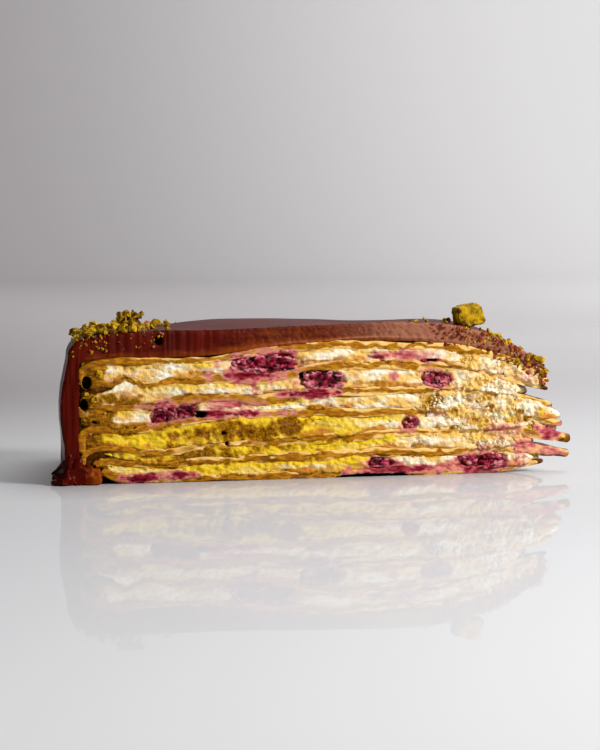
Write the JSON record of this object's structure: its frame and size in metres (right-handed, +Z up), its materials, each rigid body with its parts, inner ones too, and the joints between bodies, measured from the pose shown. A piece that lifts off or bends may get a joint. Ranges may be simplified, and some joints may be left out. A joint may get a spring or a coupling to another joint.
{
  "type": "crepe cake slice",
  "caption": "Wedge of layered crepe cake with cream and berry fillings under a ganache coat, cut on both sides, topped with nut pieces.",
  "frame": {"origin": "middle of the footprint's box, on the table the slice rests on", "axes": "+Z up; +X from the rim towards the slice's tip along the front cut; -Y is the way the front cut faces"},
  "size_m": [0.1318, 0.0662, 0.0433],
  "materials": {
    "ganache": "milk chocolate ganache, satin gloss on the poured faces and matt where it was cut",
    "crepe": "thin cooked batter, golden with browned edges, moist",
    "cream": "whipped cream filling, ivory, soft and uneven, stained pink near the berries",
    "berry": "broken raspberries, wet, dark magenta",
    "nut": "chopped pistachio, yellow green with brown skin"
  },
  "bodies": {
    "root": {"ganache_coat": "ganache", "crepe_1": "crepe", "crepe_2": "crepe", "crepe_3": "crepe", "crepe_4": "crepe", "crepe_5": "crepe", "crepe_6": "crepe", "crepe_7": "crepe", "cream_1": "cream", "cream_2": "cream", "cream_3": "cream", "cream_4": "cream", "cream_5": "cream", "cream_6": "cream", "berry_top_centre": "berry", "berry_second_centre": "berry", "berry_second_tip": "berry", "berry_third_rim": "berry", "berry_third_inner": "berry", "berry_fourth_tip": "berry", "berry_base_tip": "berry", "berry_base_centre": "berry", "berry_back_top": "berry", "berry_back_second": "berry", "berry_back_fourth": "berry", "berry_back_base": "berry", "nut_tip": "nut", "nut_rim": "nut"}
  },
  "joints": []
}
